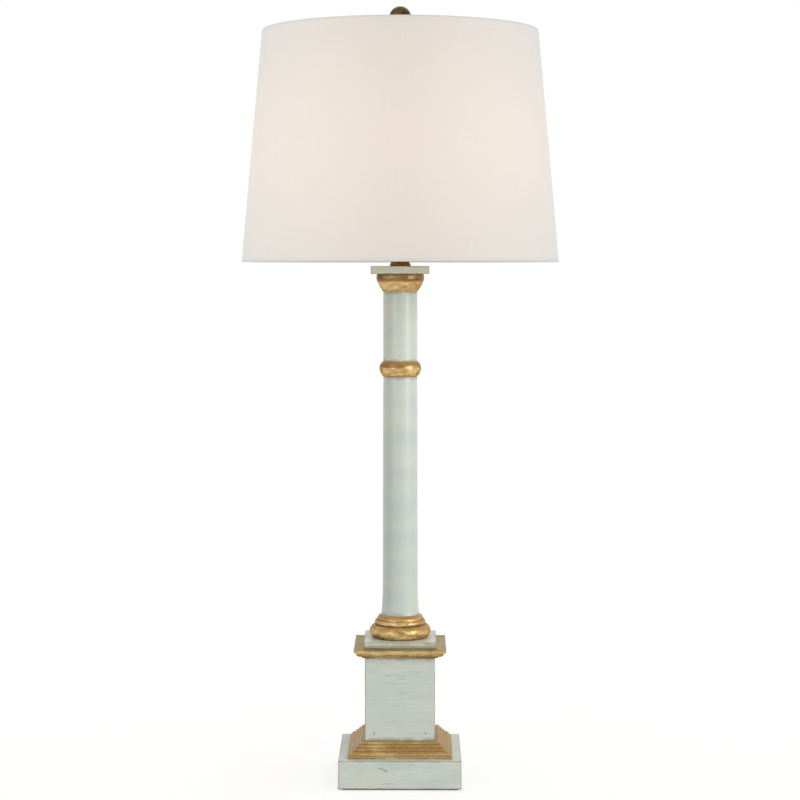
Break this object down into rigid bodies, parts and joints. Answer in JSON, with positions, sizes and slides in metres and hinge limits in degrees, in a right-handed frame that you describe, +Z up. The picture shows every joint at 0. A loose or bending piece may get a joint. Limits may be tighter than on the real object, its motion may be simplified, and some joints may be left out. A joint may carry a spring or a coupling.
{
  "type": "column table lamp",
  "caption": "Classical column table lamp with a square painted and gilded pedestal, a slender round shaft, a harp and a tapered linen shade under a ball finial.",
  "frame": {"origin": "centre of the underside of the felt pad, on the axis of the column", "axes": "+Z up along the column, -Y to the front of the square pedestal, +Y to the cord inlet"},
  "size_m": [0.3679, 0.368, 0.895],
  "materials": {
    "felt": "pressed wool felt",
    "painted_wood": "brushed chalky grey-green paint, lightly distressed",
    "gilded_wood": "antique gold leaf over red-brown bole",
    "antique_brass": "dark antique brass, satin",
    "bushing_plastic": "moulded black",
    "zinc_steel": "zinc plated",
    "polished_brass": "brass plated, bright",
    "fibre_paper": "fibre insulating sleeve",
    "moulded_phenolic": "black phenolic",
    "cap_aluminium": "drawn aluminium",
    "frosted_glass": "soft white frosted",
    "shade_wire": "white coated wire",
    "linen": "plain woven white linen",
    "styrene_liner": "white translucent sheet"
  },
  "bodies": {
    "column": {"base_felt": "felt", "base_block": "painted_wood", "cord_bushing": "bushing_plastic", "pedestal_die": "painted_wood", "column_plinth": "painted_wood", "column_base": "gilded_wood", "column_shaft": "painted_wood", "shaft_ring": "gilded_wood", "column_necking": "painted_wood", "capital": "gilded_wood", "abacus": "painted_wood", "neck_cap": "antique_brass", "threaded_rod": "zinc_steel", "bottom_washer": "zinc_steel", "bottom_lock_washer": "zinc_steel", "bottom_nut": "zinc_steel", "top_lock_nut": "zinc_steel", "harp_saddle": "polished_brass", "socket_cap": "polished_brass", "socket_shell": "polished_brass", "socket_liner": "fibre_paper", "socket_insulator": "moulded_phenolic", "terminal_screws": "polished_brass", "socket_screw_shell": "polished_brass", "centre_contact": "polished_brass", "base_moulding_front": "gilded_wood", "base_moulding_right": "gilded_wood", "base_moulding_back": "gilded_wood", "base_moulding_left": "gilded_wood", "cornice_moulding_front": "gilded_wood", "cornice_moulding_right": "gilded_wood", "cornice_moulding_back": "gilded_wood", "cornice_moulding_left": "gilded_wood"},
    "switch": {"switch_spindle": "polished_brass", "switch_knob": "moulded_phenolic"},
    "bulb": {"bulb_contact": "cap_aluminium", "bulb_cap": "cap_aluminium", "bulb_glass": "frosted_glass"},
    "harp": {"harp_wire": "polished_brass", "harp_stud": "polished_brass"},
    "left_sleeve": {"harp_sleeve_left": "polished_brass"},
    "right_sleeve": {"harp_sleeve_right": "polished_brass"},
    "shade": {"shade_spider": "shade_wire", "shade_top_ring": "shade_wire", "shade_bottom_ring": "shade_wire", "shade_fabric": "linen", "shade_liner": "styrene_liner", "shade_top_hem": "linen", "shade_bottom_hem": "linen"},
    "finial": {"finial": "antique_brass"}
  },
  "joints": [
    {"name": "switch_turn", "type": "hinge", "parent": "column", "child": "switch", "pos_m": [0, -0.0244, 0.63625], "axis": [0, -1, 0], "continuous": true},
    {"name": "bulb_lift", "type": "slide", "parent": "column", "child": "bulb", "axis": [0, 0, 1], "range_m": [0, 0.06]},
    {"name": "harp_lift", "type": "slide", "parent": "column", "child": "harp", "axis": [0, 0, 1], "range_m": [0, 0.012]},
    {"name": "left_sleeve_slide", "type": "slide", "parent": "harp", "child": "left_sleeve", "axis": [0, 0, 1], "range_m": [0, 0.012]},
    {"name": "right_sleeve_slide", "type": "slide", "parent": "harp", "child": "right_sleeve", "axis": [0, 0, 1], "range_m": [0, 0.012]},
    {"name": "shade_lift", "type": "slide", "parent": "harp", "child": "shade", "axis": [0, 0, 1], "range_m": [0, 0.27]},
    {"name": "finial_turn", "type": "hinge", "parent": "shade", "child": "finial", "pos_m": [0, 0, 0.8518], "axis": [0, 0, 1], "continuous": true}
  ]
}
